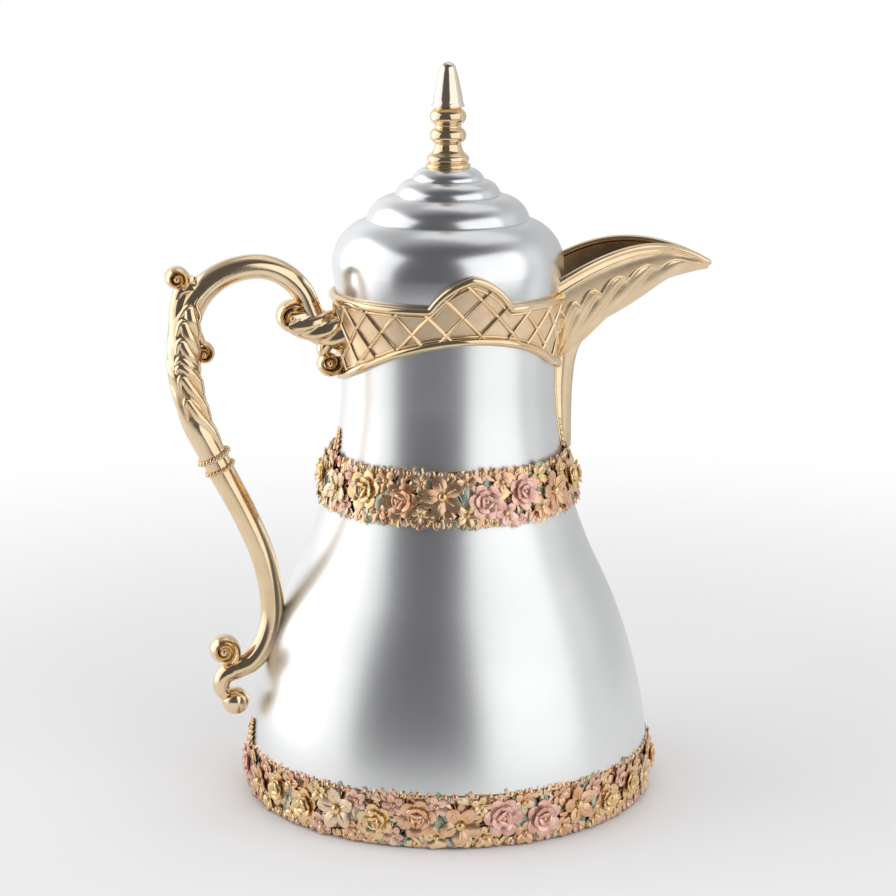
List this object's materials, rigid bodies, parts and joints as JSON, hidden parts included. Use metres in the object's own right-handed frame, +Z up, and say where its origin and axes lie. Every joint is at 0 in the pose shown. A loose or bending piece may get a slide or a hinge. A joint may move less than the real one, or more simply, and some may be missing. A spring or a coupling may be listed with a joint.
{
  "type": "dallah vacuum coffee pot",
  "caption": "Pear-shaped steel dallah with a glass vacuum liner, screw lid, gold scroll handle, open beak spout, pierced-look collar and flower bands.",
  "frame": {"origin": "on the pot's axis, on the surface it stands on", "axes": "+Z up along the pot's axis, +X from the axis towards the spout, the handle on -X"},
  "size_m": [0.2396, 0.1822, 0.32],
  "materials": {
    "satin_steel": "satin pearl silver",
    "gold_plate": "polished champagne gold",
    "flower_enamel": "rose gold with pink, yellow and green tints",
    "moulded_plastic": "moulded ivory",
    "screw_steel": "bright zinc",
    "rubber": "matt black",
    "seal_rubber": "translucent silicone",
    "liner_glass": "silvered inside its vacuum gap"
  },
  "bodies": {
    "pot": {"outer_shell": "satin_steel", "base_band": "flower_enamel", "waist_band": "flower_enamel", "base_cover": "moulded_plastic", "base_screws": "screw_steel", "anchor_ring": "screw_steel", "foot_ring": "rubber", "liner_cushion": "rubber", "glass_liner": "liner_glass", "neck_gasket": "rubber", "neck_sleeve": "moulded_plastic", "collar": "gold_plate", "spout": "gold_plate", "handle": "gold_plate", "handle_top_screws": "screw_steel", "handle_foot_screw": "screw_steel"},
    "seal": {"stopper_seal": "seal_rubber"},
    "lid": {"stopper": "moulded_plastic", "inner_cap": "moulded_plastic", "lid_dome": "satin_steel", "finial": "gold_plate"}
  },
  "joints": [
    {"name": "lid_rise", "type": "slide", "parent": "pot", "child": "seal", "axis": [0, 0, 1], "range_m": [0, 0.018]},
    {"name": "lid_turn", "type": "hinge", "parent": "seal", "child": "lid", "pos_m": [0, 0, 0.23], "axis": [0, 0, 1], "range_deg": [0, 540]}
  ],
  "couplings": [
    {"joint": "lid_rise", "follows": "lid_turn", "m_per_rad": 0.0019099}
  ]
}
